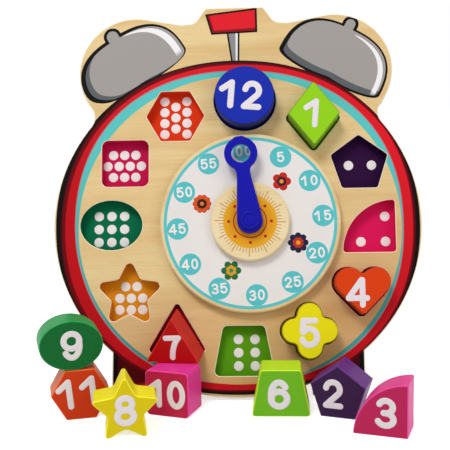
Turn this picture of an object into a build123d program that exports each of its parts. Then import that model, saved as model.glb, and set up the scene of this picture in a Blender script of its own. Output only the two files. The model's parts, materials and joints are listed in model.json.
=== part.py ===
"""Leaning plywood teaching clock with twelve shaped number blocks, a turning dial and one hand."""
from build123d import *
import os
from math import acos, asin, atan2, cos, degrees, hypot, radians, sin, tan

# ---------------------------------------------------------------- driving dimensions, mm
# Board axes: x to the right, y up the board, z out of its front face, origin mid-board.
LEAN = 16.0  # degrees the board leans back from upright
BOARD_RX = 144.0  # half width of the oval body
BOARD_RY = 134.0  # half height of the oval body
FRONT_PLY = 9.0  # sheet with the cut-outs, which is also the recess depth
BACK_PLY = 5.0  # plain sheet that closes the recesses
EDGE_EASE = 0.8  # eased outer edge of both sheets

LOBE_X = 79.8  # centre of each bell-shaped lobe
LOBE_Y = 123.3
LOBE_R = 45.3
VALLEY_X = 43.0  # dip between a lobe and the flat top
VALLEY_Y = 157.5
VALLEY_R = 5.0
TOP_HALF = 23.3  # flat top where the painted hammer stands
TOP_Y = 176.0
TOP_ROUND = 3.0
FLARE_X = 32.0  # the flat top's sides spread out here to meet the dips
FLARE_Y = 163.5
FLARE_ROUND = 8.0
NECK_HALF = 60.0  # half width of the wood between lobes and oval
NECK_Y = 90.0
NOTCH_ROUND = 12.0  # between a lobe and the oval body

FOOT_DROP = 137.0  # centre of the board to the front edge of the feet
FOOT_OUT = 97.0  # outer side of each foot
FOOT_IN = 64.0  # inner side of each foot
FOOT_TOP = -90.0  # where the foot disappears into the oval
FOOT_FLARE = 8.0  # the inner side widens by this towards the oval

BLOCK_T = 25.0  # thickness of a number block
CLEARANCE = 1.6  # gap between a block and its recess, all round
SEAT_GAP = 0.1  # under a block that lies in its recess
BLOCK_EASE = 0.7  # eased edges of the block's two faces
RIM_CHAMFER = 0.5  # chamfer round each recess

CIRCLE_R = 24.9  # 12
RHOMBUS_HALF_W = 22.2  # 1
RHOMBUS_HALF_H = 28.3
RHOMBUS_ROUND = 3.5
PENTAGON_R = 23.5  # 2
PENTAGON_ROUND = 2.5
QUARTER_SIDE = 41.0  # 3
QUARTER_ROUND = 2.6
HEART_LOBE_R = 12.3  # 4
HEART_LOBE_X = 10.2
HEART_LOBE_Y = 6.6
HEART_TIP_R = 4.6
HEART_TIP_Y = -14.9
HEART_NOTCH_ROUND = 2.0
PETAL_R = 10.9  # 5
PETAL_X = 11.7
PETAL_NOTCH_ROUND = 2.2
TRAPEZOID_TOP = 32.0  # 6
TRAPEZOID_BOTTOM = 46.9
TRAPEZOID_H = 38.3
TRAPEZOID_ROUND = 4.0
TRIANGLE_W = 46.5  # 7
TRIANGLE_H = 39.5
TRIANGLE_ROUND = 2.4
STAR_OUTER_R = 29.0  # 8
STAR_INNER_R = 14.6
STAR_ROUND = 3.6
OVAL_RX = 24.6  # 9
OVAL_RY = 19.8
SQUARE_SIDE = 37.4  # 10
SQUARE_ROUND = 5.2
HEXAGON_R = 23.3  # 11
HEXAGON_ROUND = 2.4

PIVOT_X = 10.8  # axle of the dial and the hand, right of mid-board
PIVOT_Y = 0.0
AXLE_R = 3.0
RUNNING_FIT = 0.06  # radial gap round the axle
DIAL_R = 70.0
DIAL_T = 6.0
DIAL_EASE = 1.0
SUN_R = 30.5
SUN_T = 5.0
SUN_EASE = 1.1
SPACER_R = 9.0
DISC_SPACER_T = 1.3  # board to dial
SUN_SPACER_T = 0.8  # dial to small disc
HAND_SPACER_T = 0.7  # small disc to hand
END_PLAY = 0.15  # along the axle, between a spacer and what turns beside it
HAND_T = 4.5
HAND_HUB_R = 9.9
HAND_NECK_R = 5.45
HAND_NECK_Y = 34.0
HAND_HEAD_R = 12.9
HAND_HEAD_Y = 52.8
HAND_WINDOW_R = 7.4
HAND_TIP_Y = 66.2
HAND_TIP_HALF = 2.8
HAND_BLEND = 5.0
HAND_EASE = 1.0
HAND_ANGLE = 7.0  # degrees anticlockwise from twelve
CAP_R = 7.2
CAP_T = 3.0
CAP_GAP = 0.3  # between the hand and the cap
CAP_GROOVE_R = 5.2
CAP_GROOVE_W = 1.0
CAP_GROOVE_T = 0.6
AXLE_IN_CAP = 2.0  # length of axle inside the cap
AXLE_HEAD_R = 7.0
AXLE_HEAD_T = 2.5
WASHER_R = 10.0
WASHER_T = 1.0

PROP_X = 62.0  # mid-thickness of each rear prop from mid-board
PROP_T = 9.0
PROP_TOP = 30.0  # up the board
PROP_REACH = 110.0  # back along the table
PROP_HEEL = 12.0
PROP_TOP_W = 14.0
PROP_HOLLOW = 22.0  # how far the back edge curves in
TENON_H = 25.0
TENON_DEPTH = 3.0
TENON_GAP = 0.1
TENON_YS = (-70.0, -10.0)  # lower ends of the tenons, up the board
DOWEL_R = 5.0
DOWEL_GAP = 0.05
DOWEL_BACK = 58.0
DOWEL_UP = 20.0

# ---------------------------------------------------------------- what follows from them
AXLE_HEIGHT = FOOT_DROP * cos(radians(LEAN))  # mid-board above the table
BOARD_T = FRONT_PLY + BACK_PLY
BOARD = Plane(
    origin=(0, 0, AXLE_HEIGHT),
    x_dir=(1, 0, 0),
    z_dir=(0, -cos(radians(LEAN)), sin(radians(LEAN))),
)
DIAL_Z = DISC_SPACER_T + END_PLAY
SUN_SPACER_Z = DIAL_Z + DIAL_T + END_PLAY
SUN_Z = SUN_SPACER_Z + SUN_SPACER_T + END_PLAY
HAND_SPACER_Z = SUN_Z + SUN_T + END_PLAY
HAND_Z = HAND_SPACER_Z + HAND_SPACER_T + END_PLAY
CAP_Z = HAND_Z + HAND_T + CAP_GAP
BORE_R = AXLE_R + RUNNING_FIT


# ---------------------------------------------------------------- drawing helpers
def patch(*points):
    """Polygon through the points, always wound anticlockwise."""
    pairs = zip(points, points[1:] + points[:1])
    area = sum(a[0] * b[1] - b[0] * a[1] for a, b in pairs)
    return Polygon(*(points if area > 0 else points[::-1]), align=None)


def bridge(first, first_r, second, second_r):
    """Patch between the outer tangents of two circles."""
    across, up = second[0] - first[0], second[1] - first[1]
    heading = atan2(up, across)
    swing = acos((first_r - second_r) / hypot(across, up))
    corners = [
        (centre[0] + r * cos(heading + turn), centre[1] + r * sin(heading + turn))
        for centre, r, turn in (
            (first, first_r, swing), (first, first_r, -swing),
            (second, second_r, -swing), (second, second_r, swing),
        )
    ]
    return patch(*corners)


def capsule(first, first_r, second, second_r):
    """Two circles and the patch between their tangents."""
    ends = [Pos(*first) * Circle(first_r), Pos(*second) * Circle(second_r)]
    return Sketch() + bridge(first, first_r, second, second_r) + ends


def rounded(outline, radius):
    """The outline with every corner rounded."""
    return fillet(outline.vertices(), radius)


# ---------------------------------------------------------------- outlines of the recesses
# Each is drawn at the recess's size, less a gap all round for the block that goes into it.
def inset_by(gap, outline):
    """The outline drawn in by the gap."""
    return offset(outline, -gap) if gap else outline


def circle_outline(gap=0.0):
    return Sketch() + Circle(CIRCLE_R - gap)


def rhombus_outline(gap=0.0):
    w, h = RHOMBUS_HALF_W, RHOMBUS_HALF_H
    return inset_by(gap, rounded(Sketch() + patch((w, 0), (0, h), (-w, 0), (0, -h)), RHOMBUS_ROUND))


def pentagon_outline(gap=0.0):
    return inset_by(gap, rounded(Sketch() + RegularPolygon(PENTAGON_R, 5, rotation=90), PENTAGON_ROUND))


def quarter_outline(gap=0.0):
    """A quarter of a disc whose square corner is at the lower right."""
    s = QUARTER_SIDE / 2
    square = Sketch() + Rectangle(QUARTER_SIDE, QUARTER_SIDE)
    disc = Pos(s, -s) * Circle(QUARTER_SIDE)
    return inset_by(gap, rounded(Sketch() + (square & disc), QUARTER_ROUND))


def heart_outline(gap=0.0):
    """Two round lobes, each joined to the small round tip by its own tangents."""
    tip = (0, HEART_TIP_Y)
    halves = Sketch()
    for side in (-1, 1):
        lobe = (side * HEART_LOBE_X, HEART_LOBE_Y)
        halves += capsule(lobe, HEART_LOBE_R - gap, tip, HEART_TIP_R - gap)
    notch = halves.vertices().filter_by(lambda v: abs(v.X) < 0.01 and v.Y > 0)
    return fillet(notch, HEART_NOTCH_ROUND + gap)


def quatrefoil_outline(gap=0.0):
    petals = Sketch() + Rectangle(PETAL_X, PETAL_X)
    for turn in range(4):
        petals += Rot(0, 0, 90 * turn) * Pos(PETAL_X, 0) * Circle(PETAL_R)
    notches = petals.vertices().filter_by(lambda v: abs(abs(v.X) - abs(v.Y)) < 0.01)
    return inset_by(gap, fillet(notches, PETAL_NOTCH_ROUND))


def trapezoid_outline(gap=0.0):
    a, b, h = TRAPEZOID_TOP / 2, TRAPEZOID_BOTTOM / 2, TRAPEZOID_H / 2
    return inset_by(gap, rounded(Sketch() + patch((-b, -h), (b, -h), (a, h), (-a, h)), TRAPEZOID_ROUND))


def triangle_outline(gap=0.0):
    a, h = TRIANGLE_W / 2, TRIANGLE_H / 2
    return inset_by(gap, rounded(Sketch() + patch((-a, -h), (a, -h), (0, h)), TRIANGLE_ROUND))


def star_outline(gap=0.0):
    corners = []
    for k in range(10):
        reach = STAR_OUTER_R if k % 2 == 0 else STAR_INNER_R
        turn = radians(90 + 36 * k)
        corners.append((reach * cos(turn), reach * sin(turn)))
    return inset_by(gap, rounded(Sketch() + patch(*corners), STAR_ROUND))


def oval_outline(gap=0.0):
    return Sketch() + Ellipse(OVAL_RX - gap, OVAL_RY - gap)


def square_outline(gap=0.0):
    return inset_by(gap, Sketch() + RectangleRounded(SQUARE_SIDE, SQUARE_SIDE, SQUARE_ROUND))


def hexagon_outline(gap=0.0):
    return inset_by(gap, rounded(Sketch() + RegularPolygon(HEXAGON_R, 6), HEXAGON_ROUND))


# Number on the block, its outline, and the centre of its recess on the board.
RECESSES = (
    (1, rhombus_outline, (61.4, 83.5)),
    (2, pentagon_outline, (96.8, 46.0)),
    (3, quarter_outline, (103.0, -3.2)),
    (4, heart_outline, (95.4, -53.8)),
    (5, quatrefoil_outline, (54.8, -83.9)),
    (6, trapezoid_outline, (4.8, -98.5)),
    (7, triangle_outline, (-46.8, -79.6)),
    (8, star_outline, (-84.0, -54.6)),
    (9, oval_outline, (-98.6, 0.2)),
    (10, square_outline, (-87.8, 49.5)),
    (11, hexagon_outline, (-47.8, 87.2)),
    (12, circle_outline, (7.6, 99.0)),
)

# Blocks that stand on the table: middle of the face's foot (x, y) and turn of the face in degrees.
ON_TABLE = {
    2: ((72.3, -73.0), 19.0),
    3: ((98.1, -107.8), 18.0),
    6: ((31.8, -70.0), 1.5),
    8: ((-75.5, -108.0), -10.0),
    10: ((-51.2, -68.6), 18.5),
    11: ((-113.5, -72.0), -15.0),
}
# Blocks that stand on another block: the block below, then as above.
ON_BLOCK = {9: (11, (-118.5, -73.5), -18.0)}
# Blocks that have tipped forward out of their recess onto a block on the table: the block below, how far
# the middle of the lower back edge is still inside the recess, its shift to the right and its swing in degrees.
TIPPED = {7: (10, 2.7, 1.0, -5.7)}
REST_GAP = 0.3  # between such a block and what it rests on


# ---------------------------------------------------------------- boards
def board_outline():
    """Oval body, two bell lobes, a flat top and two feet that run on below the table."""
    shape = Sketch() + Ellipse(BOARD_RX, BOARD_RY)
    dip = VALLEY_Y + VALLEY_R
    shape += patch(
        (-TOP_HALF, TOP_Y), (TOP_HALF, TOP_Y), (FLARE_X, FLARE_Y), (VALLEY_X, dip),
        (NECK_HALF, NECK_Y), (-NECK_HALF, NECK_Y), (-VALLEY_X, dip), (-FLARE_X, FLARE_Y),
    )
    below = FOOT_DROP + BOARD_T
    for side in (-1, 1):
        shape += capsule((side * LOBE_X, LOBE_Y), LOBE_R, (side * VALLEY_X, VALLEY_Y), VALLEY_R)
        shape += patch(
            (side * FOOT_OUT, FOOT_TOP), (side * FOOT_OUT, -below), (side * FOOT_IN, -below),
            (side * FOOT_IN, -FOOT_DROP), (side * (FOOT_IN - FOOT_FLARE), FOOT_TOP),
        )
    for radius, x, y in (
        (TOP_ROUND, TOP_HALF, TOP_Y), (FLARE_ROUND, FLARE_X, FLARE_Y), (NOTCH_ROUND, BOARD_RX * 0.78, NECK_Y),
    ):
        for side in (-1, 1):
            corner = shape.vertices().sort_by_distance((side * x, y, 0))[0]
            shape = fillet(corner, radius)
    return shape


def sheet(outline, front, thickness):
    """A sheet of ply with eased edges whose feet are cut level with the table."""
    plate = extrude(Pos(0, 0, front - thickness) * outline, thickness)
    faces = plate.faces().filter_by(Axis.Z)
    plate = chamfer(faces.sort_by(Axis.Z)[-1].outer_wire().edges(), EDGE_EASE)
    placed = BOARD * plate
    under = Pos(0, 0, -BOARD_T * 4) * Box(8 * BOARD_RX, 8 * BOARD_RX, 8 * BOARD_T)
    return placed - under


def recess_cutter(shape, centre):
    """Through cut with a fine chamfer round its mouth."""
    cut = extrude(Pos(0, 0, -FRONT_PLY - 1) * shape(), FRONT_PLY + 2)
    cut += loft([Pos(0, 0, -RIM_CHAMFER) * shape().face(), shape(-RIM_CHAMFER).face()])
    return Pos(*centre, 0) * cut


def front_panel(outline):
    panel = sheet(outline, 0, FRONT_PLY)
    for _, shape, centre in RECESSES:
        panel -= BOARD * recess_cutter(shape, centre)
    bore = Pos(PIVOT_X, PIVOT_Y, -FRONT_PLY / 2) * Cylinder(BORE_R, 2 * FRONT_PLY)
    return panel - BOARD * bore


def back_panel(outline):
    panel = sheet(outline, -FRONT_PLY, BACK_PLY)
    bore = Pos(PIVOT_X, PIVOT_Y, -BOARD_T) * Cylinder(BORE_R, 4 * BACK_PLY)
    panel -= BOARD * bore
    for side in (-1, 1):
        for low in TENON_YS:
            panel -= BOARD * tenon(side, low, TENON_GAP)
    return panel


# ---------------------------------------------------------------- rear props
def tenon(side, low, gap):
    """Stub of a prop that is glued into a blind slot in the back sheet."""
    size = Box(PROP_T + 2 * gap, TENON_H + 2 * gap, 2 * (TENON_DEPTH + gap))
    return Pos(side * PROP_X, low + TENON_H / 2, -BOARD_T) * size


def back_line(up):
    """Table coordinates (back, height) of a point up the board's rear face."""
    point = BOARD.from_local_coords(Vector(0, up, -BOARD_T))
    return point.Y, point.Z


def prop_profile():
    """Side view: along the board's back, down the hollow rear edge and along the table."""
    lean = radians(LEAN)
    toe_up = -(AXLE_HEIGHT - BOARD_T * sin(lean)) / cos(lean)
    toe, _ = back_line(toe_up)
    top_y, top_z = back_line(PROP_TOP)
    heel = toe + PROP_REACH
    start, end = (top_y + PROP_TOP_W, top_z), (heel, PROP_HEEL)
    middle = ((start[0] + end[0]) / 2 - PROP_HOLLOW * 0.8, (start[1] + end[1]) / 2 - PROP_HOLLOW * 0.6)
    edge = Polyline((heel, PROP_HEEL), (heel, 0), (toe, 0), (top_y, top_z), start)
    return make_face([edge, ThreePointArc(start, middle, end)])


def prop(side):
    profile = Plane(origin=(side * PROP_X, 0, 0), x_dir=(0, 1, 0), z_dir=(1, 0, 0)) * prop_profile()
    body = extrude(profile, PROP_T / 2, both=True)
    for low in TENON_YS:
        body += BOARD * tenon(side, low, 0)
    return body - dowel(DOWEL_R + DOWEL_GAP, PROP_T)


def dowel(radius, extra=0.0):
    """Round bar through both props."""
    length = 2 * PROP_X + PROP_T + extra
    return Pos(0, DOWEL_BACK, DOWEL_UP) * Rot(0, 90, 0) * Cylinder(radius, length)


# ---------------------------------------------------------------- dial, hand and axle
def at_pivot(solid, z):
    return BOARD * (Pos(PIVOT_X, PIVOT_Y, z) * solid)


def disc(radius, thickness, ease):
    """Wooden disc with a chamfered front edge and a bore for the axle."""
    body = Pos(0, 0, thickness / 2) * Cylinder(radius, thickness)
    body = chamfer(body.edges().group_by(Axis.Z)[-1], ease)
    return body - Cylinder(BORE_R, 4 * thickness)


def ring(radius, thickness, hole=BORE_R):
    return Pos(0, 0, thickness / 2) * (Cylinder(radius, thickness) - Cylinder(hole, 2 * thickness))


def hand():
    """Tapered arm, round head with a window and a short blunt tip."""
    shape = capsule((0, 0), HAND_HUB_R, (0, HAND_NECK_Y), HAND_NECK_R)
    shape += Pos(0, (HAND_NECK_Y + HAND_HEAD_Y) / 2) * Rectangle(
        2 * HAND_NECK_R, HAND_HEAD_Y - HAND_NECK_Y
    )
    shape += Pos(0, HAND_HEAD_Y) * Circle(HAND_HEAD_R)
    shoulder = HAND_HEAD_R * 0.6
    shape += patch(
        (-HAND_TIP_HALF, HAND_TIP_Y), (-shoulder, HAND_HEAD_Y + HAND_HEAD_R * 0.8),
        (shoulder, HAND_HEAD_Y + HAND_HEAD_R * 0.8), (HAND_TIP_HALF, HAND_TIP_Y),
    )
    collar = shape.vertices().filter_by(
        lambda v: HAND_NECK_Y + 0.5 < v.Y < HAND_HEAD_Y and abs(abs(v.X) - HAND_NECK_R) < 0.01
    )
    shape = fillet(collar, HAND_BLEND)
    body = extrude(shape, HAND_T)
    body = fillet(body.faces().sort_by(Axis.Z)[-1].edges(), HAND_EASE)
    body -= Pos(0, HAND_HEAD_Y, 0) * Cylinder(HAND_WINDOW_R, 4 * HAND_T)
    body = chamfer(body.edges().filter_by(GeomType.CIRCLE).group_by(Axis.Z)[-1], HAND_EASE / 3)
    body -= Cylinder(BORE_R, 4 * HAND_T)
    return Rot(0, 0, HAND_ANGLE) * body


def hub_cap():
    """Domed cap over the end of the axle with a ring groove in its face."""
    cap = Pos(0, 0, CAP_T / 2) * Cylinder(CAP_R, CAP_T)
    cap = fillet(cap.edges().group_by(Axis.Z)[-1], CAP_T / 3)
    groove = Cylinder(CAP_GROOVE_R, 2 * CAP_GROOVE_T) - Cylinder(
        CAP_GROOVE_R - CAP_GROOVE_W, 2 * CAP_GROOVE_T
    )
    cap -= Pos(0, 0, CAP_T) * groove
    return cap - Cylinder(AXLE_R + RUNNING_FIT, 2 * AXLE_IN_CAP)


def axle():
    """Pin with a low round head behind the board."""
    back = -BOARD_T - WASHER_T
    length = CAP_Z + AXLE_IN_CAP - back
    pin = Pos(0, 0, back + length / 2) * Cylinder(AXLE_R, length)
    head = Pos(0, 0, back - AXLE_HEAD_T / 2) * Cylinder(AXLE_HEAD_R, AXLE_HEAD_T)
    head = fillet(head.edges().group_by(Axis.Z)[0], AXLE_HEAD_T / 2)
    return pin + head


# ---------------------------------------------------------------- number blocks
def block(shape):
    """Block of the recess's outline less the clearance, back face at z = 0."""
    body = extrude(shape(CLEARANCE), BLOCK_T)
    flats = body.faces().filter_by(Axis.Z)
    return chamfer(flats.edges(), BLOCK_EASE)


def standing(solid, foot, turn, height):
    """Stands a block up with the middle of its face's foot at a point of the table."""
    angle = radians(turn)
    face = Plane(
        origin=(foot[0], foot[1], height - solid.bounding_box().min.Y),
        x_dir=(cos(angle), -sin(angle), 0),
        z_dir=(-sin(angle), -cos(angle), 0),
    )
    return face * (Pos(0, 0, -BLOCK_T) * solid)


def seated(solid, centre):
    """Lays a block in its recess."""
    return BOARD * (Pos(*centre, SEAT_GAP - FRONT_PLY) * solid)


def tipped(solid, shape, centre, inside, shift, swing, support):
    """Rests a block's lower face on the lower lip of its recess and on a support of the given height."""
    lip = centre[1] + shape().bounding_box().min.Y
    drop = AXLE_HEIGHT + lip * cos(radians(LEAN)) - support
    half_width = solid.bounding_box().max.X
    reach = BLOCK_T * cos(radians(swing)) + half_width * abs(sin(radians(swing))) - inside
    if abs(drop) > reach / 2:  # nothing near enough to tip onto
        return seated(solid, centre)
    tilt = LEAN + degrees(asin(drop / reach))
    rise = REST_GAP / cos(radians(tilt)) + inside * tan(radians(tilt))
    foot = Pos(0, -solid.bounding_box().min.Y, 0)
    return BOARD * Pos(centre[0] + shift, lip + rise, -inside) * Rot(tilt, swing, 0) * foot * solid


def number_blocks():
    """Every block, seated in its recess, tipped out of it or standing where it was left."""
    solids = {number: block(shape) for number, shape, _ in RECESSES}
    heights = {number: solid.bounding_box().size.Y for number, solid in solids.items()}
    placed = {}
    for number, shape, centre in RECESSES:
        solid = solids[number]
        if number in ON_TABLE:
            foot, turn = ON_TABLE[number]
            placed[number] = standing(solid, foot, turn, 0)
        elif number in ON_BLOCK:
            below, foot, turn = ON_BLOCK[number]
            placed[number] = standing(solid, foot, turn, heights[below] + REST_GAP)
        elif number in TIPPED:
            below, inside, shift, swing = TIPPED[number]
            placed[number] = tipped(solid, shape, centre, inside, shift, swing, heights[below])
        else:
            placed[number] = seated(solid, centre)
    return placed


# ---------------------------------------------------------------- all the nodes
def clock():
    outline = board_outline()
    parts = {
        "front_panel": front_panel(outline),
        "back_panel": back_panel(outline),
        "prop_left": prop(-1),
        "prop_right": prop(1),
        "prop_dowel": dowel(DOWEL_R),
        "axle": at_pivot(axle(), 0),
        "axle_washer": at_pivot(ring(WASHER_R, WASHER_T), -BOARD_T - WASHER_T),
        "dial_spacer": at_pivot(ring(SPACER_R, DISC_SPACER_T), 0),
        "dial_disc": at_pivot(disc(DIAL_R, DIAL_T, DIAL_EASE), DIAL_Z),
        "sun_spacer": at_pivot(ring(SPACER_R, SUN_SPACER_T), SUN_SPACER_Z),
        "sun_disc": at_pivot(disc(SUN_R, SUN_T, SUN_EASE), SUN_Z),
        "hand_spacer": at_pivot(ring(SPACER_R, HAND_SPACER_T), HAND_SPACER_Z),
        "hand": at_pivot(hand(), HAND_Z),
        "hub_cap": at_pivot(hub_cap(), CAP_Z),
    }
    for number, solid in number_blocks().items():
        parts[f"block_{number:02d}"] = solid
    return parts


def main():
    parts = clock()
    box = Compound(children=[Compound([s for s in p.solids()]) for p in parts.values()]).bounding_box()
    home = Pos(-(box.min.X + box.max.X) / 2, -(box.min.Y + box.max.Y) / 2, -box.min.Z)
    os.makedirs("parts", exist_ok=True)
    for name, solid in parts.items():
        export_step(home * solid, f"parts/{name}.step")
    print("table point of mid-board:", home.position)


main()
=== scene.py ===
"""Looks of the leaning plywood teaching clock: prints, painted blocks, floor, lights and camera."""
import json
from math import atan2, cos, pi, radians, sin

import bpy
import numpy as np
from mathutils import Matrix, Vector


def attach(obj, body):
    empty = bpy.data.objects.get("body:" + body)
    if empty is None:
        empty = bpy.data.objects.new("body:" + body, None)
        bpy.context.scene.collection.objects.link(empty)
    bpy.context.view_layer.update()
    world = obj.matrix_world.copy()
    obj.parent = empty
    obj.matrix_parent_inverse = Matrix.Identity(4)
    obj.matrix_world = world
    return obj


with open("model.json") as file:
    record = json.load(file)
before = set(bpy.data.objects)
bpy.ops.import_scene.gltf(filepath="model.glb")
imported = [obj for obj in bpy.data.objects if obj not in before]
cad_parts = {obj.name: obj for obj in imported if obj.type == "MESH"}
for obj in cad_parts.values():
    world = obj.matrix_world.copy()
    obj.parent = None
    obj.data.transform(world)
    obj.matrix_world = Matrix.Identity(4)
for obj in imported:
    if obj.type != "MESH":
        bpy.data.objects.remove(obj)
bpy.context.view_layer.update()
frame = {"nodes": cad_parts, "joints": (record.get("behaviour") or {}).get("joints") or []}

# ------------------------------------------------------------------ where things are, metres
joints = {joint["name"]: joint for joint in frame["joints"]}
OUT = np.array(joints["dial_turn"]["axis"])
PIVOT = np.array(joints["dial_turn"]["pos_m"])
LEAN = atan2(OUT[2], -OUT[1])
UP = np.array([0.0, sin(LEAN), cos(LEAN)])
RIGHT = np.array([1.0, 0.0, 0.0])
PIVOT_X = 10.8  # mm, the pivot is this far right of mid-board
MM = 0.001  # one millimetre
MID = PIVOT - RIGHT * PIVOT_X * MM
FACES_UP = (radians(90) - LEAN, 0.0, 0.0)  # turn that lays the board's axes on x, y, z


def hexa(code):
    """Linear colour of a six-figure code."""
    parts = [int(code[k:k + 2], 16) / 255 for k in (0, 2, 4)]
    linear = [c / 12.92 if c <= 0.04045 else ((c + 0.055) / 1.055) ** 2.4 for c in parts]
    return (*linear, 1.0)


def shaded(code, factor, lift=0.0):
    """Linear colour of a code, made darker or paler by a factor, kept within one."""
    return tuple(min(1, c * factor + lift) for c in hexa(code)[:3]) + (1.0,)


# ------------------------------------------------------------------ shader arithmetic
class Field:
    """A number that varies over a surface. Each operation adds one Math node."""

    def __init__(self, tree, socket):
        self.tree, self.socket = tree, socket

    def apply(self, operation, *others, clamp=False):
        node = self.tree.nodes.new("ShaderNodeMath")
        node.operation, node.use_clamp = operation, clamp
        for slot, value in enumerate((self, *others)):
            if isinstance(value, Field):
                self.tree.links.new(value.socket, node.inputs[slot])
            else:
                node.inputs[slot].default_value = value
        return Field(self.tree, node.outputs[0])

    def __add__(self, other):
        return self.apply("ADD", other)

    def __sub__(self, other):
        return self.apply("SUBTRACT", other)

    def __mul__(self, other):
        return self.apply("MULTIPLY", other)

    def __truediv__(self, other):
        return self.apply("DIVIDE", other)

    def power(self, other):
        return self.apply("POWER", other)

    def least(self, other):
        return self.apply("MINIMUM", other)

    def most(self, other):
        return self.apply("MAXIMUM", other)

    def size(self):
        return self.apply("ABSOLUTE")

    def floor(self):
        return self.apply("FLOOR")

    def cosine(self):
        return self.apply("COSINE")

    def sine(self):
        return self.apply("SINE")

    def clamped(self):
        """The number held between 0 and 1."""
        return self.apply("ADD", 0.0, clamp=True)

    def above(self, level=0.0, soft=0.12):
        """0 below the level and 1 above it, over a soft edge."""
        return ((self - level) / soft).apply("ADD", 0.5, clamp=True)

    def below(self, level, soft=0.12):
        """1 below the level and 0 above it, over a soft edge."""
        return (self * -1).above(-level, soft)


def root(a, b):
    """Square root of the sum of two squares."""
    return (a * a + b * b).apply("SQRT")


class Surface:
    """One material under construction: millimetre coordinates, a layered colour and a finish."""

    def __init__(self, name, place=(0.0, 0.0, 0.0), turn=(0.0, 0.0, 0.0)):
        self.material = bpy.data.materials.new(name)
        self.material.use_nodes = True
        self.tree = self.material.node_tree
        self.nodes, self.links = self.tree.nodes, self.tree.links
        self.shader = self.nodes["Principled BSDF"]
        self.coords = self.nodes.new("ShaderNodeTexCoord")
        self.mapping = self.nodes.new("ShaderNodeMapping")
        self.mapping.vector_type = "TEXTURE"
        self.mapping.inputs["Location"].default_value = place
        self.mapping.inputs["Rotation"].default_value = turn
        self.mapping.inputs["Scale"].default_value = (MM, MM, MM)
        self.links.new(self.coords.outputs["Object"], self.mapping.inputs["Vector"])
        split = self.nodes.new("ShaderNodeSeparateXYZ")
        self.links.new(self.mapping.outputs[0], split.inputs[0])
        self.x, self.y, self.z = (Field(self.tree, split.outputs[k]) for k in range(3))
        self.colour = None

    def facing(self, direction):
        """Cosine between the surface and a direction."""
        node = self.nodes.new("ShaderNodeVectorMath")
        node.operation = "DOT_PRODUCT"
        self.links.new(self.coords.outputs["Normal"], node.inputs[0])
        node.inputs[1].default_value = tuple(direction)
        return Field(self.tree, node.outputs["Value"])

    def noise(self, stretch, detail=3.0, rough=0.55):
        """Noise over the millimetre coordinates, each axis scaled by its stretch."""
        scaled = self.nodes.new("ShaderNodeVectorMath")
        scaled.operation = "MULTIPLY"
        self.links.new(self.mapping.outputs[0], scaled.inputs[0])
        scaled.inputs[1].default_value = stretch
        node = self.nodes.new("ShaderNodeTexNoise")
        self.links.new(scaled.outputs[0], node.inputs["Vector"])
        node.inputs["Scale"].default_value = 1.0
        node.inputs["Detail"].default_value = detail
        node.inputs["Roughness"].default_value = rough
        return Field(self.tree, node.outputs["Fac"])

    def tint(self, over, amount):
        """Lays a colour over what is there, by an amount."""
        node = self.nodes.new("ShaderNodeMix")
        node.data_type = "RGBA"
        for socket, value in ((node.inputs[6], self.colour), (node.inputs[7], over)):
            if isinstance(value, bpy.types.NodeSocket):
                self.links.new(value, socket)
            else:
                socket.default_value = value
        if isinstance(amount, Field):
            self.links.new(amount.socket, node.inputs[0])
        else:
            node.inputs[0].default_value = amount
        self.colour = node.outputs[2]

    def finish(self, roughness, bump, height, gloss=0.15, metallic=0.0, coat=0.0):
        """Connects colour, roughness and bump (its height in metres); returns the material."""
        inputs = self.shader.inputs
        self.links.new(self.colour, inputs["Base Color"])
        self.links.new(roughness.socket, inputs["Roughness"])
        inputs["Metallic"].default_value = metallic
        inputs["Specular IOR Level"].default_value = gloss
        inputs["Coat Weight"].default_value = coat
        inputs["Coat Roughness"].default_value = 0.06
        node = self.nodes.new("ShaderNodeBump")
        node.inputs["Strength"].default_value = 0.6
        node.inputs["Distance"].default_value = height
        self.links.new(bump.socket, node.inputs["Height"])
        self.links.new(node.outputs[0], inputs["Normal"])
        return self.material


# ------------------------------------------------------------------ wood
def grain(surface, along=(1, 0, 0), light="E7CC96", mid="DAB67C", dark="C09252"):
    """Wood tone: broad bands, fine streaks and short dark pores, all stretched along the grain."""
    def stretched(long, short):
        return tuple(long if on else short for on in along)

    bands = surface.noise(stretched(0.006, 0.055), detail=4)
    streaks = surface.noise(stretched(0.018, 0.9), detail=5, rough=0.62)
    pores = surface.noise(stretched(0.07, 2.6), detail=2)
    surface.colour = hexa(light)
    surface.tint(hexa(mid), ((bands - 0.38) * 3.2).clamped())
    surface.tint(hexa(dark), ((streaks - 0.52) * 2.2).clamped() * 0.55)
    surface.tint(hexa("A87B45"), pores.above(0.66, 0.06) * 0.35)
    return streaks * 0.6 + pores * 0.4


def ply_edge(surface, depth, amount, sheet=1.5):
    """Alternating plies on a cut edge, counted through the thickness."""
    layer = depth / sheet
    odd = (layer * 0.5 - (layer * 0.5).floor()).above(0.5, 0.08)
    surface.tint(hexa("C59A62"), amount * odd * 0.75)
    glue = (layer - (layer + 0.5).floor()).size()
    surface.tint(hexa("8E6538"), amount * glue.below(0.05, 0.05) * 0.6)


def bare_wood(name, along, upright_ply=False):
    """Unpainted wood with its grain along one axis; an upright ply shows layers on its edges."""
    surface = Surface(name)
    relief = grain(surface, along)
    if upright_ply:
        ply_edge(surface, surface.x, surface.facing((1, 0, 0)).size().below(0.5, 0.1))
    return surface.finish(relief * 0.25 + 0.42, relief, 0.00012)


# ------------------------------------------------------------------ printed front of the board
OUTLINE = hexa("0B0A0C")


def oval(s, cx, cy, a, b, power=2.0):
    """Rough distance inside a superellipse, positive inside, in millimetres."""
    across, up = (s.x - cx).size() / a, (s.y - cy).size() / b
    reach = (across.power(power) + up.power(power)).power(1 / power)
    return (reach * -1 + 1) * ((a + b) / 2)


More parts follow.
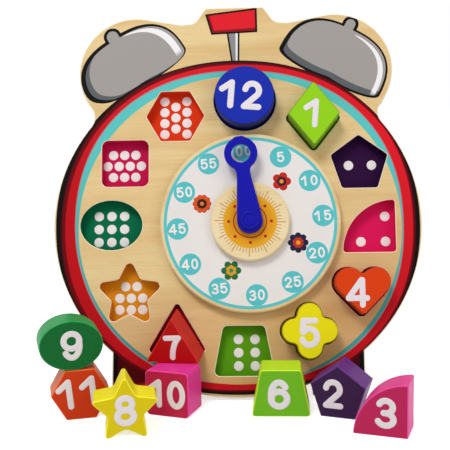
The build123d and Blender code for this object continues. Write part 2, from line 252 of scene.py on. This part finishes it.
def dome(u, v, half, high, low, power=2.6):
    """Distance inside a superellipse whose heights above and below its base line differ."""
    tall = v.above(0, 0.01) * (high - low) + low
    reach = ((u.size() / half).power(power) + (v.size() / tall).power(power)).power(1 / power)
    return (reach * -1 + 1) / reach * root(u, v)


# middle; heading in degrees; half width, height and depth of the dome; knob across, up and radius;
# upward shift that shapes the gleam; whether a corner is cut
BELLS = (
    ((-78.5, 121.5), 120.8, (44.8, 37.5, 10.5), (-0.7, 38.0, 7.2), -4.6, True),
    ((75.5, 122.0), 62.0, (44.3, 39.5, 8.8), (-2.2, 41.8, 6.4), 0.3, False),
)


def bell(s, middle, heading, shape, knob_place, shine, cut):
    """Printed bell: grey dome and knob, shade low on the left, gleam high on the right, outline."""
    knob_u, knob_v, knob_r = knob_place
    c, d = cos(radians(heading)), sin(radians(heading))

    def along(right, up):
        """Distance across and along the bell, with the bell moved on the board."""
        px, py = s.x - middle[0] - right, s.y - middle[1] - up
        return px * d - py * c, px * c + py * d

    def body(right, up):
        """Distance inside the moved dome; a cut corner is a straight line with a rounded join."""
        u, v = along(right, up)
        whole = dome(u, v, *shape)
        corner = (u + 38.2) * 0.6 + (v + 5.0) * 0.8
        return (whole + corner - root(whole - corner, 5.0)) / 2 if cut else whole

    u, v = along(0, 0)
    knob = root(u - knob_u, v - v.most(20).least(knob_v)) * -1 + knob_r
    s.tint(OUTLINE, body(0, 0).most(knob).above(0))
    inner = body(1.1, 0.5).above(2.7).most(knob.above(2.5))
    s.tint(hexa("5D6164"), inner)
    s.tint(hexa("A19C98"), inner * body(5.2, 4.4).most(knob - 0.8).above(1.6))
    gleam = inner * body(-0.6, -0.5).above(3.2) * body(-5.6, shine).below(2.2)
    clear = (u - knob_u - 8).above(0, 5) * (v + 2).above(0, 4) * knob.below(-0.8)
    s.tint(hexa("F1EDEF"), gleam * clear)


def four_sided(s, *corners):
    """Least distance inside the edges of a convex outline, its corners given anticlockwise."""
    inside = None
    for (ax, ay), (bx, by) in zip(corners, corners[1:] + corners[:1]):
        length = ((bx - ax) ** 2 + (by - ay) ** 2) ** 0.5
        nx, ny = -(by - ay) / length, (bx - ax) / length
        distance = (s.x - ax) * nx + (s.y - ay) * ny
        inside = distance if inside is None else inside.least(distance)
    return inside


def hammer(s):
    """Printed hammer between the bells: grey stem with a pale side, red head with a dark side."""
    stem = four_sided(s, (-2.6, 129.0), (3.7, 129.0), (4.2, 157.0), (-6.6, 157.0))
    s.tint(OUTLINE, stem.above(0))
    s.tint(hexa("8F8C8B"), stem.above(1.4))
    s.tint(hexa("E9E5E6"), stem.above(1.4) * (s.x - 0.8).above(0))
    head = four_sided(s, (-18.6, 153.6), (18.4, 155.0), (18.2, 175.4), (-23.6, 170.8))
    s.tint(OUTLINE, head.above(0))
    s.tint(hexa("8E101A"), head.above(1.6))
    lit = (s.x + s.y * 0.28 - 27.6).above(0) * (s.y - s.x * 0.05 - 157.8).above(0)
    s.tint(hexa("DE1F2B"), head.above(1.6) * lit)


SECTORS = (  # upper end of each recess's sector in degrees, and the colour of its wall and floor
    (-163, "006B45"), (-133, "D98B12"), (-104, "B0121C"), (-72, "5A9A10"), (-43, "D8C60A"),
    (-15, "C43A0A"), (12, "D81458"), (40, "2C0838"), (70, "86C014"), (102, "1228A0"),
    (134.5, "DA3810"), (165, "C4124E"), (180, "006B45"),
)


def sector_colour(s):
    """Colour of the nearest recess, chosen by the angle round mid-board."""
    angle = s.y.apply("ARCTAN2", s.x) / (2 * pi) + 0.5
    ramp = s.nodes.new("ShaderNodeValToRGB")
    ramp.color_ramp.interpolation = "CONSTANT"
    s.links.new(angle.socket, ramp.inputs[0])
    stops = ramp.color_ramp.elements
    starts = [0.0] + [(end + 180) / 360 for end, _ in SECTORS[:-1]]
    while len(stops) < len(SECTORS):
        stops.new(0.5)
    for stop, start in zip(stops, starts):
        stop.position = start
    for stop, (_, code) in zip(stops, SECTORS):
        stop.color = hexa(code)
    return ramp.outputs[0]


RING = {  # ovals of the painted ring, mm: middle, half width, half height and power
    "outline": (0, 0, 142.4, 131.8, 2.1),
    "outline, widest at the upper left": (2.5, -2.5, 140.5, 133.8, 2.12),
    "dark red": (0, 0.5, 138.6, 129.6, 2.2),
    "red": (1.0, 0.6, 136.0, 128.7, 2.2),
    "teal": (1.2, 0.0, 128.6, 123.6, 2.23),
    "teal, narrow at the lower left": (2.5, 3.5, 130, 130, 2.1),
    "bare wood": (1.9, -2.4, 126.3, 121.6, 2.03),
    "round the recesses": (0, 0, 136, 129, 2.0),
}
FOOT_TOP, FOOT_IN, FOOT_OUT = 97.0, 56.0, 92.6  # mm, the painted part of a foot


def painted_ring(s):
    """Painted ring from the outside in: outline, dark red, red, grey line, teal. Painted feet.
    Painted shade darkens the red and the teal towards the bottom.
    """
    black = hexa("0B0709")
    s.tint(black, oval(s, *RING["outline"]).above(0))
    # painted shade: this mask grows towards the bottom of the board, where it lies in shade
    lower = (s.y * -1).above(20, 160)
    outward, down = s.x.size(), s.y * -1
    foot = down.above(FOOT_TOP, 3) * outward.above(FOOT_IN)
    s.tint(hexa("4B0209"), foot)
    s.tint(hexa("A5141C"), foot * (down - outward * 0.25).above(104, 3))
    s.tint(black, foot * outward.above(FOOT_OUT))
    wide = oval(s, *RING["outline, widest at the upper left"])
    s.tint(hexa("6A0710"), oval(s, *RING["dark red"]).least(wide).above(0, 2.0))
    red = oval(s, *RING["red"]).least(wide - 3).above(0, 0.6)
    s.tint(hexa("DC1C29"), red)
    left = (s.x * -1 - s.y * 0.2).above(85, 90)
    # the red darkens at the left, as drawn in the print, and towards the bottom with painted shade
    s.tint(hexa("B40E16"), red * (lower * 0.7).most(left * 0.8))
    teal = oval(s, *RING["teal"]).least(oval(s, *RING["teal, narrow at the lower left"]))
    s.tint(hexa("9C8F92"), teal.above(0))
    s.tint(hexa("5BC3C0"), teal.above(0.9))
    # painted shade on the teal towards the bottom
    s.tint(hexa("3E9C97"), teal.above(0.9) * lower)


def printed_front():
    """Front sheet: prints on bare ply, painted recess walls, bare cut edges, painted shade on the
    wood towards the lower right and a painted highlight on the chamfered rims.
    """
    s = Surface("printed_ply", tuple(MID), FACES_UP)
    relief = grain(s)
    # painted shade: the wood turns darker and warmer towards the lower right, where the board lies
    # in shade
    s.tint(hexa("C48B50"), (s.x * 0.5 - s.y).above(70, 130) * 0.55)
    front = s.facing(OUT).above(0.9, 0.02)
    bare = s.colour
    for place in BELLS:
        bell(s, *place)
    hammer(s)
    painted_ring(s)
    s.tint(bare, oval(s, *RING["bare wood"]).above(0))
    printed = s.colour
    s.colour = bare
    s.tint(printed, front)
    # cut walls: painted inside the recesses, bare ply round the outside
    wall = s.facing(OUT).size().below(0.3, 0.05)
    within = oval(s, *RING["round the recesses"]).above(0)
    ply_edge(s, s.z, wall * (within * -1 + 1), 1.8)
    s.tint(sector_colour(s), wall * within)
    # painted highlight: the chamfered rims are bare wood, painted much paler than the wood, as
    # where light catches them
    rim = s.facing(OUT).above(0.4, 0.02) * (front * -1 + 1)
    s.tint(hexa("FFF1D6"), rim)
    patchy = (s.noise((0.5, 0.5, 0.5), detail=2) - 0.5) * 0.08
    return s.finish(relief * 0.22 + 0.36 + patchy, relief, 0.00010, gloss=0.06)


def back_ply():
    """Back sheet: painted floors where the recesses are, bare rear and edges."""
    s = Surface("back_ply", tuple(MID), FACES_UP)
    relief = grain(s)
    ply_edge(s, s.z, s.facing(OUT).size().below(0.5, 0.1), 1.25)
    floor = s.facing(OUT).above(0.9, 0.02) * oval(s, *RING["round the recesses"]).above(0)
    s.tint(sector_colour(s), floor)
    return s.finish(relief * 0.25 + 0.42, relief, 0.00010, gloss=0.06)


# ------------------------------------------------------------------ dial, sun disc, hand
def fold(s, count, start):
    """Radius round the pivot, and the point turned into the first of a number of equal sectors."""
    px = s.x - PIVOT_X
    radius = root(px, s.y)
    angle = s.y.apply("ARCTAN2", px) - radians(start)
    step = 2 * pi / count
    local = angle - ((angle / step) + 0.5).floor() * step
    return radius, radius * local.cosine(), radius * local.sine()


DIAL_TURN = 4.5  # degrees anticlockwise
DIAL_TEAL, DIAL_WHITE = 67.2, 64.7  # mm, outer radii of the printed ring and of the white face
MINUTES_OUT, MINUTE_DISC = 56.5, 8.4  # mm, from the pivot to a teal disc, and its radius
SUN_CORE, SUN_RAY, SUN_LONG_RAY = 20.7, 24.4, 27.2  # mm, radii
SUN_RING, SUN_DOTS_OUT = 12.6, 16.4  # mm, radii of the drawn ring and of the ring of dots


def dial_print():
    """White face with a teal ring and twelve teal discs inside a bare wooden rim."""
    s = Surface("dial_print", tuple(MID), FACES_UP)
    relief = grain(s, light="EBD6A8", mid="E0C08A")
    front = s.facing(OUT).above(0.95, 0.02)
    radius, px, py = fold(s, 12, 90 + DIAL_TURN)
    s.tint(hexa("58C2C4"), front * radius.below(DIAL_TEAL))
    cloudy = s.noise((0.05, 0.05, 0.05))
    white = front * radius.below(DIAL_WHITE)
    s.tint(hexa("EBE6E3"), white)
    s.tint(hexa("DDD7D3"), white * cloudy * 0.6)
    s.tint(hexa("55BEC2"), white * root(px - MINUTES_OUT, py).below(MINUTE_DISC))
    return s.finish(relief * 0.15 + 0.36, relief, 0.00006)


def sun_print():
    """Orange sun on bare wood: soft round centre, and rays of which every fifth is longer."""
    s = Surface("sun_print", tuple(MID), FACES_UP)
    relief = grain(s, light="EFDDB4", mid="E8CF9C", dark="D6B47C")
    front = s.facing(OUT).above(0.95, 0.02)
    radius, _, side = fold(s, 60, 88)
    _, _, long_side = fold(s, 12, 88)
    short = side.size().below(0.32) * radius.below(SUN_RAY)
    long = long_side.size().below(0.4) * radius.below(SUN_LONG_RAY)
    s.tint(hexa("C6924A"), front * short.most(long) * radius.above(20))
    disc = front * radius.below(SUN_CORE, 0.6)
    s.tint(hexa("E4A51C"), disc)
    s.tint(hexa("D8780E"), disc * radius.below(13, 14))
    _, px, py = fold(s, 8, 0)
    s.tint(hexa("B01414"), disc * root(px - SUN_DOTS_OUT, py).below(1.2))
    s.tint(hexa("8E1A10"), disc * (radius - SUN_RING).size().below(0.4))
    return s.finish(relief * 0.15 + 0.36, relief, 0.00006)


def plastic(name, code, rough, coat=0.0, place=(0, 0, 0)):
    """Moulded plastic with a faint orange-peel surface and slightly uneven gloss."""
    s = Surface(name, place)
    s.colour = hexa(code)
    cloudy = s.noise((0.12, 0.12, 0.12))
    s.tint(shaded(code, 1.35, 0.01), cloudy * 0.35)
    peel = s.noise((1.4, 1.4, 1.4), detail=2)
    return s.finish(cloudy * 0.08 + rough, peel, 0.00003, gloss=0.08, coat=coat)


def steel():
    """Turned steel: fine rings along the pin."""
    s = Surface("steel_pin", tuple(PIVOT), FACES_UP)
    s.colour = hexa("A9ABAE")
    turned = s.noise((0.3, 0.3, 6.0), detail=3)
    s.tint(hexa("8B8D91"), turned * 0.7)
    return s.finish(turned * 0.2 + 0.25, turned, 0.00003, metallic=1.0)


# ------------------------------------------------------------------ number blocks
def face_frame(node):
    """Middle, right, up and outward of a node's largest forward flat, from its triangles."""
    mesh = frame["nodes"][node].data
    areas, normals = (np.empty(len(mesh.polygons) * k) for k in (1, 3))
    mesh.polygons.foreach_get("area", areas)
    mesh.polygons.foreach_get("normal", normals)
    normals = normals.reshape(-1, 3)
    forward = normals[:, 1] < -0.5
    totals = np.where(forward, (((normals @ normals.T) > 0.9995) * areas).sum(1), 0)
    out = normals[totals.argmax()]
    right = np.cross((0, 0, 1), out)
    right /= np.linalg.norm(right)
    up = np.cross(out, right)
    points = np.empty(len(mesh.vertices) * 3)
    mesh.vertices.foreach_get("co", points)
    points = points.reshape(-1, 3)
    reach = [(points @ axis).min() / 2 + (points @ axis).max() / 2 for axis in (right, up)]
    middle = right * reach[0] + up * reach[1] + out * (points @ out).max()
    return middle, right, up, out


def turn_of(right, up, out):
    """Euler turn that lays three axes on x, y and z."""
    return Matrix((right, up, out)).transposed().to_euler()


def block_paint(number, face, side):
    """Toy paint: face and sides in two colours, the sides partly painted light; a painted highlight
    on the chamfers; worn chips on the edges, wood grain and brush marks.
    """
    middle, right, up, out = face_frame(f"block_{number:02d}")
    s = Surface(f"paint_{number:02d}", tuple(middle), turn_of(right, up, out))
    lie = s.noise((0.02, 0.35, 0.35), detail=4)
    fine = s.noise((0.06, 1.8, 1.8), detail=3)
    cloudy = s.noise((0.06, 0.06, 0.06))
    flat = s.facing(out)
    # the sides' colour is partly two-tone paint and partly painted light: paler for lit tops,
    # darker for shaded sides
    s.colour = hexa(side)
    s.tint(hexa(face), flat.above(0.9, 0.1))
    s.tint(shaded(face, 0.8), lie * cloudy * 0.4)
    eased = flat.size().above(0.4, 0.05) * flat.size().below(0.95, 0.02)
    chipped = s.noise((0.5, 0.5, 0.5), detail=4).above(0.7, 0.08)
    # painted highlight: the chamfers take a paler copy of the side colour, as where light catches
    # them
    s.tint(shaded(side, 1.25, 0.03), eased * 0.3)
    s.tint(hexa("DFC394"), eased * chipped * 0.4)
    relief = lie * 0.7 + fine * 0.3
    return s.finish(cloudy * 0.16 + 0.34, relief, 0.00009, gloss=0.12)


BLOCK_PAINTS_AND_SIDE_LIGHT = {  # colour of each block's face and of its sides; the side colours are partly painted light, paler where tops catch light from above and darker where sides lie in shade
    1: ("92D016", "6DA010"), 2: ("341642", "6A2E86"), 3: ("BC2458", "F2489E"),
    4: ("DC3F08", "B83206"), 5: ("E9DC0C", "C9AE06"), 6: ("6FB71E", "C8EE2A"),
    7: ("B5080E", "D41B1E"), 8: ("DFC90D", "FFF22A"), 9: ("0A662C", "189C4C"),
    10: ("BE2048", "F03CA0"), 11: ("CE3A0C", "E8682A"), 12: ("1029A8", "0A1668"),
}


# ------------------------------------------------------------------ printed and painted relief
def ink(name, code, rough=0.4):
    """Thick print: slightly uneven tone and gloss, with a grainy surface."""
    s = Surface(name)
    s.colour = hexa(code)
    cloudy = s.noise((0.3, 0.3, 0.3))
    s.tint(shaded(code, 0.86), cloudy * 0.5)
    tooth = s.noise((2.5, 2.5, 2.5), detail=2)
    return s.finish(cloudy * 0.15 + rough, tooth, 0.00003)


CAP_STEPS = 7  # sections in each rounded end of a stroke


def ribbon(path, half, thick, closed):
    """Lens-section stroke along a path. The cross-section is a low rounded lens over a flat base,
    carried along the path; at open ends its width follows a half circle of the half width."""
    if closed:
        along = np.roll(path, -1, 0) - np.roll(path, 1, 0)
        widths = np.full(len(path), half)
    else:
        along = np.gradient(path, axis=0)
        cap = np.radians(np.linspace(4, 90, CAP_STEPS))
        reach, width = half * np.cos(cap)[:, None], half * np.sin(cap)
        start = path[0] - along[0] / np.linalg.norm(along[0]) * reach
        stop = path[-1] + along[-1] / np.linalg.norm(along[-1]) * reach[::-1]
        widths = np.concatenate([width, np.full(len(path) - 2, half), width[::-1]])
        first, last = np.repeat(along[:1], CAP_STEPS, 0), np.repeat(along[-1:], CAP_STEPS, 0)
        along = np.concatenate([first, along[1:-1], last])
        path = np.concatenate([start, path[1:-1], stop])
    across = np.stack([along[:, 1], -along[:, 0]], 1)
    across /= np.linalg.norm(across, axis=1)[:, None]
    s = np.array([-1.0, -0.85, -0.5, 0.0, 0.5, 0.85, 1.0, 1.0, -1.0])
    lift = np.array([0.3, 0.62, 0.9, 1.0, 0.9, 0.62, 0.3, -0.4, -0.4]) * thick
    flat = path[:, None, :] + across[:, None, :] * (widths[:, None, None] * s[None, :, None])
    height = np.broadcast_to(lift, flat.shape[:2])
    return np.concatenate([flat, height[..., None]], 2), closed


def lens(outline, centre, thick):
    """Low closed button: rings of the outline drawn towards its centre, raised at the middle."""
    s = np.array([0.02, 0.35, 0.7, 0.9, 1.0, 1.0, 0.5, 0.02])
    lift = np.array([1.0, 0.98, 0.85, 0.6, 0.3, -0.4, -0.4, -0.4]) * thick
    rings = centre + (outline - centre)[None, :, :] * s[:, None, None]
    height = np.broadcast_to(lift[:, None], rings.shape[:2])
    return np.concatenate([rings, height[..., None]], 2)[::-1], False


def build(name, grids, place, material, body):
    """One mesh from grids (along, round, 3) in mm, laid on a frame (middle, right, up, out).
    Each grid is a tube: its rows are joined round, and its two ends are closed by a face."""
    points, quads, ends, base = [], [], [], 0
    for grid, closed in grids:
        rows, cols = grid.shape[:2]
        index = np.arange(rows * cols).reshape(rows, cols) + base
        below = np.roll(index, -1, 0) if closed else index[1:]
        above = index if closed else index[:-1]
        corners = [above, below, np.roll(below, -1, 1), np.roll(above, -1, 1)]
        quads.append(np.stack(corners, -1).reshape(-1, 4))
        if not closed:
            ends += [index[0].tolist(), index[-1][::-1].tolist()]
        points.append(grid.reshape(-1, 3))
        base += rows * cols
    local = np.concatenate(points)
    middle, right, up, out = place
    world = middle + (local[:, :1] * right + local[:, 1:2] * up + local[:, 2:] * out) * MM
    mesh = bpy.data.meshes.new(name)
    mesh.from_pydata(world, [], np.concatenate(quads).tolist() + ends)
    mesh.update()
    mesh.shade_smooth()
    mesh.materials.append(material)
    piece = bpy.data.objects.new(name, mesh)
    bpy.context.scene.collection.objects.link(piece)
    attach(piece, body)


def arc(cx, cy, rx, ry, start, stop, count=28):
    """Points of an ellipse from one angle to another, in degrees."""
    turn = np.radians(np.linspace(start, stop, count))
    return np.stack([cx + rx * np.cos(turn), cy + ry * np.sin(turn)], 1)


def line(ax, ay, bx, by):
    """Six even points of a straight line."""
    return np.linspace((ax, ay), (bx, by), 6)


def loop(cx, cy, rx, ry):
    """Points of a whole ellipse, the first not repeated."""
    return arc(cx, cy, rx, ry, 0, 360, 45)[:-1]


SIX = [(loop(0, -0.19, 0.32, 0.31), True), (arc(0, 0, 0.32, 0.5, 200, 38), False)]
STROKES = {  # centre lines of each figure in a box one high, and whether a line closes on itself
    "0": [(loop(0, 0, 0.29, 0.5), True)],
    "1": [(line(0, -0.5, 0, 0.5), False), (line(0, 0.5, -0.4, 0.2), False)],
    "2": [(arc(0, 0.2, 0.29, 0.3, 172, -35), False), (line(0.238, 0.028, -0.3, -0.5), False),
          (line(-0.3, -0.5, 0.31, -0.5), False)],
    "3": [(arc(0.01, 0.25, 0.27, 0.25, 155, -90), False),
          (arc(0, -0.25, 0.31, 0.25, 90, -158), False), (line(-0.07, 0, 0.04, 0), False)],
    "4": [(line(0.1, 0.5, -0.43, -0.22), False), (line(-0.43, -0.23, 0.31, -0.23), False),
          (line(0.13, 0.5, 0.13, -0.5), False)],
    "5": [(line(-0.24, 0.5, 0.25, 0.5), False), (line(-0.24, 0.5, -0.27, 0.06), False),
          (arc(0, -0.17, 0.31, 0.33, 143, -160), False)],
    "6": SIX,
    "7": [(line(-0.31, 0.47, 0.31, 0.5), False),
          (arc(0.62, -0.5, 0.62, 1.155, 120, 180), False)],
    "8": [(loop(0, 0.255, 0.265, 0.245), True), (loop(0, -0.235, 0.315, 0.265), True)],
    "9": [(path * -1, closed) for path, closed in SIX],
}


def numeral(text, high, half, step, cx, cy, turn, thick):
    """Grids of a number's strokes: its height over the centre lines, half stroke, step between
    figures, middle, turn in degrees about that middle, and relief, all in mm."""
    grids = []
    c, d = cos(radians(turn)), sin(radians(turn))
    for place, digit in enumerate(text):
        shift = (place - (len(text) - 1) / 2) * step
        for path, closed in STROKES[digit]:
            flat = (path * high + (shift, 0)) @ np.array([[c, d], [-d, c]]) + (cx, cy)
            grids.append(ribbon(flat, half, thick, closed))
    return grids


NUMERALS = {  # each block's number, mm: height, half stroke, step, middle on the face, turn
    1: (18.6, 2.2, 0, 1.1, -0.1, -5), 2: (17.5, 2.2, 0, -3.5, -1.7, 0),
    3: (17.5, 2.2, 0, 3.5, -2.0, 0), 4: (18.7, 2.2, 0, -3.1, -1.5, 0),
    5: (18.1, 2.35, 0, -0.6, -1.6, 0), 6: (18.0, 2.4, 0, -1.4, -0.7, 0),
    7: (15.5, 2.1, 0, 0.3, -4.8, 0), 8: (17.7, 2.3, 0, 0.0, -1.5, 0),
    9: (17.7, 2.2, 0, 0.3, 0.0, 0), 10: (17.3, 2.2, 13.6, 0.5, 0.1, 0),
    11: (18.6, 2.2, 17, 0.4, 1.6, 5), 12: (18.4, 2.4, 16.2, -2.2, 0.3, -5),
}


def petals(radius, count, deep, cx, cy, turn=0.0, points=96):
    """Outline whose radius swells and shrinks with the absolute cosine of half the petal angle."""
    angle = np.linspace(0, 2 * pi, points, endpoint=False)
    swell = np.abs(np.cos(count * (angle - radians(turn)) / 2)) ** 0.7
    reach = radius * (1 - deep + deep * swell)
    return np.stack([cx + reach * np.cos(angle), cy + reach * np.sin(angle)], 1)


def button(radius, cx, cy, thick):
    """Round button."""
    return lens(petals(radius, 2, 0.0, cx, cy, points=40), (cx, cy), thick)


DOTS = (  # in recesses 1, 2, 4 to 10 and 12: middle, pitch across and up, dots per row from the top
    (61.4, 83.5, 9.0, 9.0, (1,)), (98.3, 46.4, 18.2, 9.0, (2,)),
    (95.4, -51.0, 10.0, 10.0, (2, 2)), (54.8, -83.9, 9.5, 9.5, (2, 1, 2)),
    (6.7, -100.1, 12.9, 10.3, (2, 2, 2)), (-46.8, -85.0, 8.6, 8.6, (1, 2, 4)),
    (-83.8, -56.9, 9.05, 9.1, (2, 3, 3)), (-99.6, -2.0, 10.2, 10.4, (3, 3, 3)),
    (-89.6, 48.9, 9.0, 9.0, (3, 4, 3)), (7.6, 99.0, 9.6, 9.6, (3, 3, 3, 3)),
)
DOTS_3 = [(116.6, 5.2), (97.3, -14.7), (116.6, -14.7)]  # the corners of recess 3
DOTS_11 = (-48.2, 87.9, 8.95, 9.0, (4, 3, 4))  # recess 11, in columns from the left
DOT_RADIUS, DOT_RELIEF = 3.8, 0.12  # mm


def counting_dots():
    """Centres of the dots on the recess floors, row by row."""
    spots = list(DOTS_3)
    for cx, cy, across, high, rows in DOTS:
        for level, count in enumerate(rows):
            y = cy + ((len(rows) - 1) / 2 - level) * high
            spots += [(cx + (k - (count - 1) / 2) * across, y) for k in range(count)]
    cx, cy, across, high, columns = DOTS_11
    for column, count in enumerate(columns):
        x = cx + (column - 1) * across
        spots += [(x, cy + (k - (count - 1) / 2) * high) for k in range(count)]
    return spots


# ------------------------------------------------------------------ putting it on
RECESS_DEPTH = 9.0  # mm
DIAL_FRONT = 1.45 + 6.0  # mm in front of the board: running gap and the dial's thickness

finishes = {
    "front_panel": printed_front(),
    "back_panel": back_ply(),
    "prop_left": bare_wood("prop_ply", (0, 1, 0), upright_ply=True),
    "prop_dowel": bare_wood("dowel_beech", (1, 0, 0)),
    "axle": steel(),
    "dial_spacer": plastic("pale_spacer", "D9D5CC", 0.4),
    "dial_disc": dial_print(),
    "sun_disc": sun_print(),
    "hand": plastic("blue_plastic", "0D0FA0", 0.22, coat=0.06, place=tuple(PIVOT)),
}
finishes["prop_right"] = finishes["prop_left"]
finishes["axle_washer"] = finishes["axle"]
finishes["sun_spacer"] = finishes["hand_spacer"] = finishes["dial_spacer"]
finishes["hub_cap"] = finishes["hand"]
for number, (face, side) in BLOCK_PAINTS_AND_SIDE_LIGHT.items():
    finishes[f"block_{number:02d}"] = block_paint(number, face, side)
for node, material in finishes.items():
    for entry in frame["nodes"][node].material_slots:
        entry.material = material

white_ink = ink("white_ink", "F3ECEA")
pale_paint = ink("pale_paint", "EAE2E6", 0.35)
for number, layout in NUMERALS.items():
    node = f"block_{number:02d}"
    build(f"numeral_{number:02d}", numeral(str(number), *layout, 0.16), face_frame(node),
          pale_paint, node)

floor_level = (MID - OUT * RECESS_DEPTH * MM, RIGHT, UP, OUT)
dots = [button(DOT_RADIUS, x, y, DOT_RELIEF) for x, y in counting_dots()]
build("counting_dots", dots, floor_level, white_ink, "clock_frame")

dial_face = (PIVOT + OUT * DIAL_FRONT * MM, RIGHT, UP, OUT)
minutes = []
for k in range(12):
    angle = radians(90 + DIAL_TURN - 30 * k)
    text = str(5 * k) if k else "00"
    middle = MINUTES_OUT * cos(angle), MINUTES_OUT * sin(angle)
    minutes += numeral(text, 6.8, 0.74, 6.8, *middle, DIAL_TURN, 0.08)
build("minute_numerals", minutes, dial_face, white_ink, "dial")

FLOWERS_OUT = 40.2  # mm from the pivot
FLOWERS = (  # angle, radius, petals, depth between them, and inks of petals, ring and middle
    (52, 7.4, 5, 0.30, "C2241A", "3A1020", "E8A02A"),
    (-24, 8.0, 8, 0.22, "1E1638", "B8321E", "E89A28"),
    (-112, 7.8, 6, 0.34, "1E6A34", "E09A22", "2A8A50"),
    (158, 7.4, 10, 0.16, "D8501A", "2E1410", "E07A2C"),
)
for k, (angle, radius, count, deep, *inks) in enumerate(FLOWERS):
    cx, cy = FLOWERS_OUT * cos(radians(angle)), FLOWERS_OUT * sin(radians(angle))
    outer = petals(radius, count, deep, cx, cy)
    inner = petals(radius * 0.58, count, deep * 0.6, cx, cy, 180 / count)
    layers = (
        ("petals", lens(outer, (cx, cy), 0.08)),
        ("ring", lens(inner, (cx, cy), 0.13)),
        ("middle", button(radius * 0.26, cx, cy, 0.18)),
    )
    for (part, grid), code in zip(layers, inks):
        build(f"dial_flower_{k + 1}_{part}", [grid], dial_face,
              ink(f"ink_{k + 1}_{part}", code), "dial")


# ------------------------------------------------------------------ floor, light and camera
FLOOR_RADIUS, FLOOR_CORNERS, FLOOR_GLOW = 8.0, 64, 0.66


def floor_sheet():
    """Plain pale floor: one flat round sheet that lifts towards white where the camera sees it."""
    angle = np.linspace(0, 2 * pi, FLOOR_CORNERS, endpoint=False)
    rim = FLOOR_RADIUS * np.stack([np.cos(angle), np.sin(angle), 0 * angle], 1)
    mesh = bpy.data.meshes.new("floor")
    mesh.from_pydata(rim.tolist(), [], [list(range(FLOOR_CORNERS))])
    sheet = bpy.data.objects.new("floor", mesh)
    bpy.context.scene.collection.objects.link(sheet)
    material = bpy.data.materials.new("pale_floor")
    material.use_nodes = True
    nodes, links = material.node_tree.nodes, material.node_tree.links
    shader = nodes["Principled BSDF"]
    shader.inputs["Base Color"].default_value = (0.82, 0.82, 0.82, 1)
    shader.inputs["Roughness"].default_value = 0.9
    shader.inputs["Emission Color"].default_value = (1, 1, 1, 1)
    glow = nodes.new("ShaderNodeMath")
    glow.operation = "MULTIPLY"
    glow.inputs[1].default_value = FLOOR_GLOW
    links.new(looked_at(nodes, links), glow.inputs[0])
    links.new(glow.outputs[0], shader.inputs["Emission Strength"])
    mesh.materials.append(material)


def looked_at(nodes, links):
    """1 where the camera, a gloss or a glass looks, 0 where light is gathered."""
    path = nodes.new("ShaderNodeLightPath")
    seen = path.outputs["Is Camera Ray"]
    for ray in ("Is Glossy Ray", "Is Transmission Ray"):
        most = nodes.new("ShaderNodeMath")
        most.operation = "MAXIMUM"
        links.new(seen, most.inputs[0])
        links.new(path.outputs[ray], most.inputs[1])
        seen = most.outputs[0]
    return seen


def sky():
    """Even soft light from all round; the camera, gloss and glass see white."""
    world = bpy.data.worlds.new("studio")
    bpy.context.scene.world = world
    world.use_nodes = True
    nodes, links = world.node_tree.nodes, world.node_tree.links
    level = nodes.new("ShaderNodeMix")
    level.inputs[2].default_value, level.inputs[3].default_value = 0.42, 1.0
    links.new(looked_at(nodes, links), level.inputs[0])
    background = nodes["Background"]
    background.inputs["Color"].default_value = (1, 1, 1, 1)
    links.new(level.outputs[0], background.inputs["Strength"])


def lamp(name, place, power, size):
    """Round lamp aimed at the middle of the clock: watts and metres."""
    light = bpy.data.lights.new(name, "AREA")
    light.shape, light.size, light.energy = "DISK", size, power
    holder = bpy.data.objects.new(name, light)
    holder.location = place
    aim = Vector((0.0, 0.0, 0.13)) - Vector(place)
    holder.rotation_euler = aim.to_track_quat("-Z", "Y").to_euler()
    bpy.context.scene.collection.objects.link(holder)


def camera():
    """Camera seen from mid-board by azimuth and elevation, its aim nudged, then rolled."""
    azimuth, elevation, roll = radians(1.67), radians(8.57), radians(-1.22)
    distance, sensor, focal = 0.7, 36.0, 894.8 / 450  # m, mm, picture widths
    back = np.array([sin(azimuth) * cos(elevation), -cos(azimuth) * cos(elevation), sin(elevation)])

    def basis(ahead):
        """Level side and upright of a direction."""
        side = np.cross(ahead, (0, 0, 1))
        side /= np.linalg.norm(side)
        return side, np.cross(side, ahead)

    side, up = basis(-back)
    ahead = -back - 0.0129 * side - 0.0012 * up
    ahead /= np.linalg.norm(ahead)
    side, up = basis(ahead)
    side, up = cos(roll) * side + sin(roll) * up, cos(roll) * up - sin(roll) * side
    data = bpy.data.cameras.new("camera")
    data.sensor_width, data.lens = sensor, focal * sensor
    data.clip_start, data.clip_end = 0.05, 50.0
    holder = bpy.data.objects.new("camera", data)
    turned = Matrix((side, up, -ahead)).transposed().to_4x4()
    holder.matrix_world = Matrix.Translation(MID + back * distance) @ turned
    bpy.context.scene.collection.objects.link(holder)
    bpy.context.scene.camera = holder


floor_sheet()
sky()
lamp("key", (-0.5, -0.95, 1.65), 17.4, 0.7)
lamp("fill", (1.3, -1.2, 0.8), 6.0, 1.2)
camera()
bpy.context.scene.view_settings.view_transform = "Standard"
